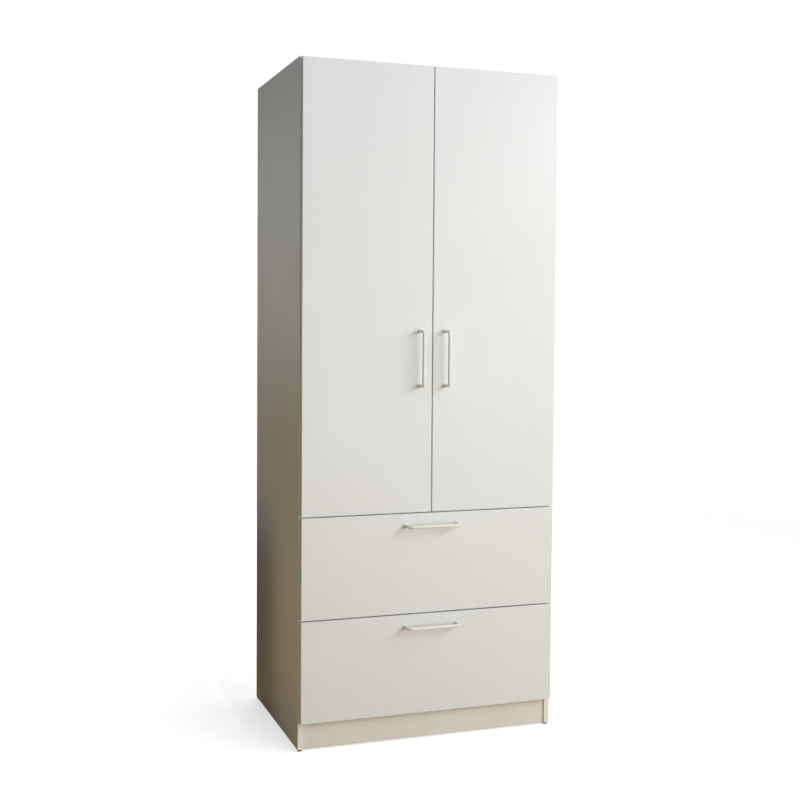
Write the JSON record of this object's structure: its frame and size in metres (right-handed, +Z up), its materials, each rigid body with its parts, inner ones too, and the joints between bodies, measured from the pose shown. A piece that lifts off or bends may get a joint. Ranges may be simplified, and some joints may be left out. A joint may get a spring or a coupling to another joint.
{
  "type": "wardrobe",
  "caption": "Tall freestanding wardrobe with hinged overlay doors over full-width drawers, bow handles, a hanging rail, a hat shelf and a recessed plinth.",
  "frame": {"origin": "on the floor, under the middle of the box that holds the whole object, handles included", "axes": "+Z up, the doors and drawers face -Y, +X is to the right of someone facing the fronts"},
  "size_m": [0.8, 0.6, 1.99],
  "materials": {
    "front_white": "white melamine foil on chipboard, satin, with a fine embossed grain",
    "carcass_white": "white melamine foil on chipboard, satin, slightly glossier than the fronts",
    "back_white": "white lacquered hardboard",
    "drawer_box_white": "white foil on chipboard and hardboard",
    "handle_ivory": "ivory lacquer on steel bar, semi-gloss",
    "zinc_steel": "zinc-plated or nickel-plated pressed steel",
    "chrome_steel": "polished chrome on steel tube",
    "glide_brown": "dark brown polythene, matt"
  },
  "bodies": {
    "carcass": {"side_panel_left": "carcass_white", "side_panel_right": "carcass_white", "top_panel": "carcass_white", "hat_shelf": "carcass_white", "divider_panel": "carcass_white", "bottom_panel": "carcass_white", "plinth_front": "carcass_white", "plinth_rear": "carcass_white", "back_panel_upper": "back_white", "back_panel_lower": "back_white", "hanging_rail": "chrome_steel", "rail_bracket_left": "chrome_steel", "rail_bracket_right": "chrome_steel", "glide_front_left": "glide_brown", "glide_front_right": "glide_brown", "glide_rear_left": "glide_brown", "glide_rear_right": "glide_brown", "hinge_arm_left_bottom": "zinc_steel", "hinge_arm_left_middle": "zinc_steel", "hinge_arm_left_top": "zinc_steel", "hinge_arm_right_bottom": "zinc_steel", "hinge_arm_right_middle": "zinc_steel", "hinge_arm_right_top": "zinc_steel", "cabinet_slide_upper_left": "zinc_steel", "cabinet_slide_upper_right": "zinc_steel", "cabinet_slide_lower_left": "zinc_steel", "cabinet_slide_lower_right": "zinc_steel"},
    "door_left": {"door_left": "front_white", "door_left_handle": "handle_ivory", "door_left_hinge_cup_bottom": "zinc_steel", "door_left_hinge_cup_middle": "zinc_steel", "door_left_hinge_cup_top": "zinc_steel"},
    "door_right": {"door_right": "front_white", "door_right_handle": "handle_ivory", "door_right_hinge_cup_bottom": "zinc_steel", "door_right_hinge_cup_middle": "zinc_steel", "door_right_hinge_cup_top": "zinc_steel"},
    "drawer_upper": {"drawer_upper_front": "front_white", "drawer_upper_side_left": "drawer_box_white", "drawer_upper_side_right": "drawer_box_white", "drawer_upper_back": "drawer_box_white", "drawer_upper_bottom": "drawer_box_white", "drawer_upper_handle": "handle_ivory", "drawer_upper_slide_left": "zinc_steel", "drawer_upper_slide_right": "zinc_steel"},
    "middle_slides_upper": {"middle_slide_upper_left": "zinc_steel", "middle_slide_upper_right": "zinc_steel"},
    "drawer_lower": {"drawer_lower_front": "front_white", "drawer_lower_side_left": "drawer_box_white", "drawer_lower_side_right": "drawer_box_white", "drawer_lower_back": "drawer_box_white", "drawer_lower_bottom": "drawer_box_white", "drawer_lower_handle": "handle_ivory", "drawer_lower_slide_left": "zinc_steel", "drawer_lower_slide_right": "zinc_steel"},
    "middle_slides_lower": {"middle_slide_lower_left": "zinc_steel", "middle_slide_lower_right": "zinc_steel"}
  },
  "joints": [
    {"name": "left_door_hinge", "type": "hinge", "parent": "carcass", "child": "door_left", "pos_m": [-0.3875, -0.252, 1.3345], "axis": [0, 0, -1], "range_deg": [0, 100]},
    {"name": "right_door_hinge", "type": "hinge", "parent": "carcass", "child": "door_right", "pos_m": [0.3875, -0.252, 1.3345], "axis": [0, 0, 1], "range_deg": [0, 100]},
    {"name": "upper_drawer_slide", "type": "slide", "parent": "carcass", "child": "drawer_upper", "axis": [0, -1, 0], "range_m": [0, 0.35]},
    {"name": "lower_drawer_slide", "type": "slide", "parent": "carcass", "child": "drawer_lower", "axis": [0, -1, 0], "range_m": [0, 0.35]},
    {"name": "upper_middle_slide", "type": "slide", "parent": "carcass", "child": "middle_slides_upper", "axis": [0, -1, 0], "range_m": [0, 0.175]},
    {"name": "lower_middle_slide", "type": "slide", "parent": "carcass", "child": "middle_slides_lower", "axis": [0, -1, 0], "range_m": [0, 0.175]}
  ],
  "couplings": [
    {"joint": "upper_middle_slide", "follows": "upper_drawer_slide", "ratio": 0.5},
    {"joint": "lower_middle_slide", "follows": "lower_drawer_slide", "ratio": 0.5}
  ]
}
